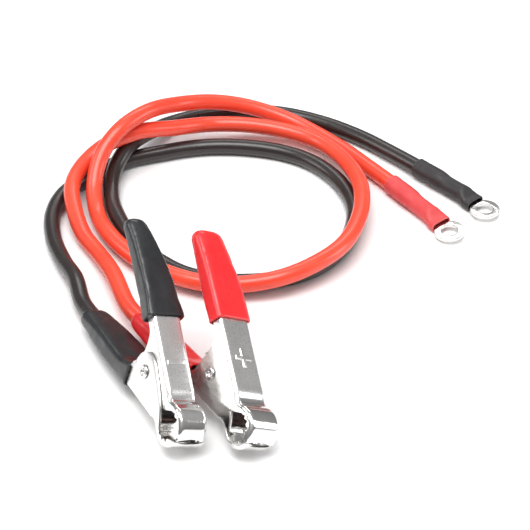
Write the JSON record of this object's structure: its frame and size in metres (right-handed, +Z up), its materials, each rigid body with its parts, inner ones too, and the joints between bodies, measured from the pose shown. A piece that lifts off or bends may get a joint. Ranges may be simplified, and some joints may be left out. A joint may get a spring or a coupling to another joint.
{
  "type": "car jumper cable",
  "caption": "Looped black and red battery leads, each with a sprung toothed clamp at one end and a shrink-sleeved ring terminal at the other.",
  "frame": {"origin": "on the surface that the leads lie on, under the middle of the clamps, terminals and sleeves taken together", "axes": "+Z up from the surface, +X towards the ring terminals, +Y from the jaws' tips towards the loops of cable"},
  "size_m": [0.2261, 0.2792, 0.0635],
  "materials": {
    "black_cable_jacket": "glossy flexible vinyl",
    "red_cable_jacket": "glossy flexible vinyl",
    "black_grip": "dipped vinyl, half gloss",
    "red_grip": "dipped vinyl, half gloss",
    "plated_steel": "bright nickel plate, satin on the webs",
    "rivet": "bright nickel plate",
    "spring_steel": "drawn spring wire",
    "tinned_copper": "bright tin plate",
    "black_shrink": "matte shrink tube",
    "red_shrink": "matte shrink tube"
  },
  "bodies": {
    "leads": {"black_cable": "black_cable_jacket", "black_lower_jaw": "plated_steel", "black_lower_grip": "black_grip", "black_pivot_rivet": "rivet", "black_torsion_spring": "spring_steel", "black_ring_terminal": "tinned_copper", "black_heat_shrink": "black_shrink", "red_cable": "red_cable_jacket", "red_lower_jaw": "plated_steel", "red_lower_grip": "red_grip", "red_pivot_rivet": "rivet", "red_torsion_spring": "spring_steel", "red_ring_terminal": "tinned_copper", "red_heat_shrink": "red_shrink"},
    "black_upper_handle": {"black_upper_jaw": "plated_steel", "black_upper_grip": "black_grip"},
    "red_upper_handle": {"red_upper_jaw": "plated_steel", "red_upper_grip": "red_grip"}
  },
  "joints": [
    {"name": "black_clamp_pivot", "type": "hinge", "parent": "leads", "child": "black_upper_handle", "pos_m": [-0.06157, -0.07153, 0.01965], "axis": [-0.8403, -0.3926, 0.3739], "range_deg": [0, 30], "stiffness_Nm_per_rad": 0.1, "springref_deg": -28.65, "deforming": ["black_torsion_spring"]},
    {"name": "red_clamp_pivot", "type": "hinge", "parent": "leads", "child": "red_upper_handle", "pos_m": [-0.03367, -0.073, 0.01903], "axis": [-0.7389, -0.4413, 0.5091], "range_deg": [0, 30], "stiffness_Nm_per_rad": 0.1, "springref_deg": -28.65, "deforming": ["red_torsion_spring"]}
  ]
}
